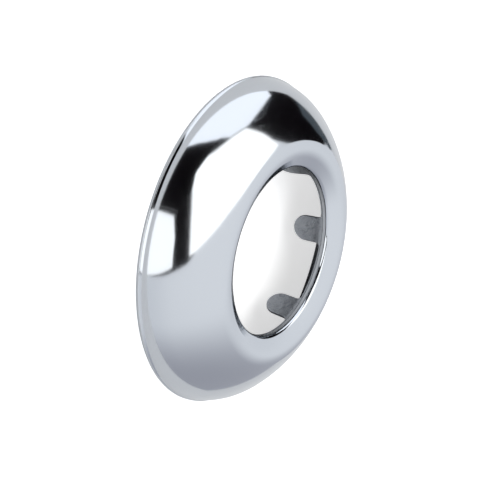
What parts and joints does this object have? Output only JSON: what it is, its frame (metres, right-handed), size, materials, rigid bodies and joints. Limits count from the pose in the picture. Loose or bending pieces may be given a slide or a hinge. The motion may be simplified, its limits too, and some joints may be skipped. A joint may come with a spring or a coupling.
{
  "type": "pipe rosette",
  "caption": "Domed sheet-metal cover ring for a pipe at a wall, with a rolled centre hole and spring tongues that hold it on the pipe.",
  "frame": {"origin": "centre of the back rim, in the plane of the wall", "axes": "+Z along the pipe, away from the wall; +X through the middle of one spring tongue"},
  "size_m": [0.065, 0.065, 0.012],
  "materials": {
    "chrome": "bright chrome plating, mirror polished on the show side"
  },
  "bodies": {
    "root": {"rosette": "chrome"}
  },
  "joints": []
}
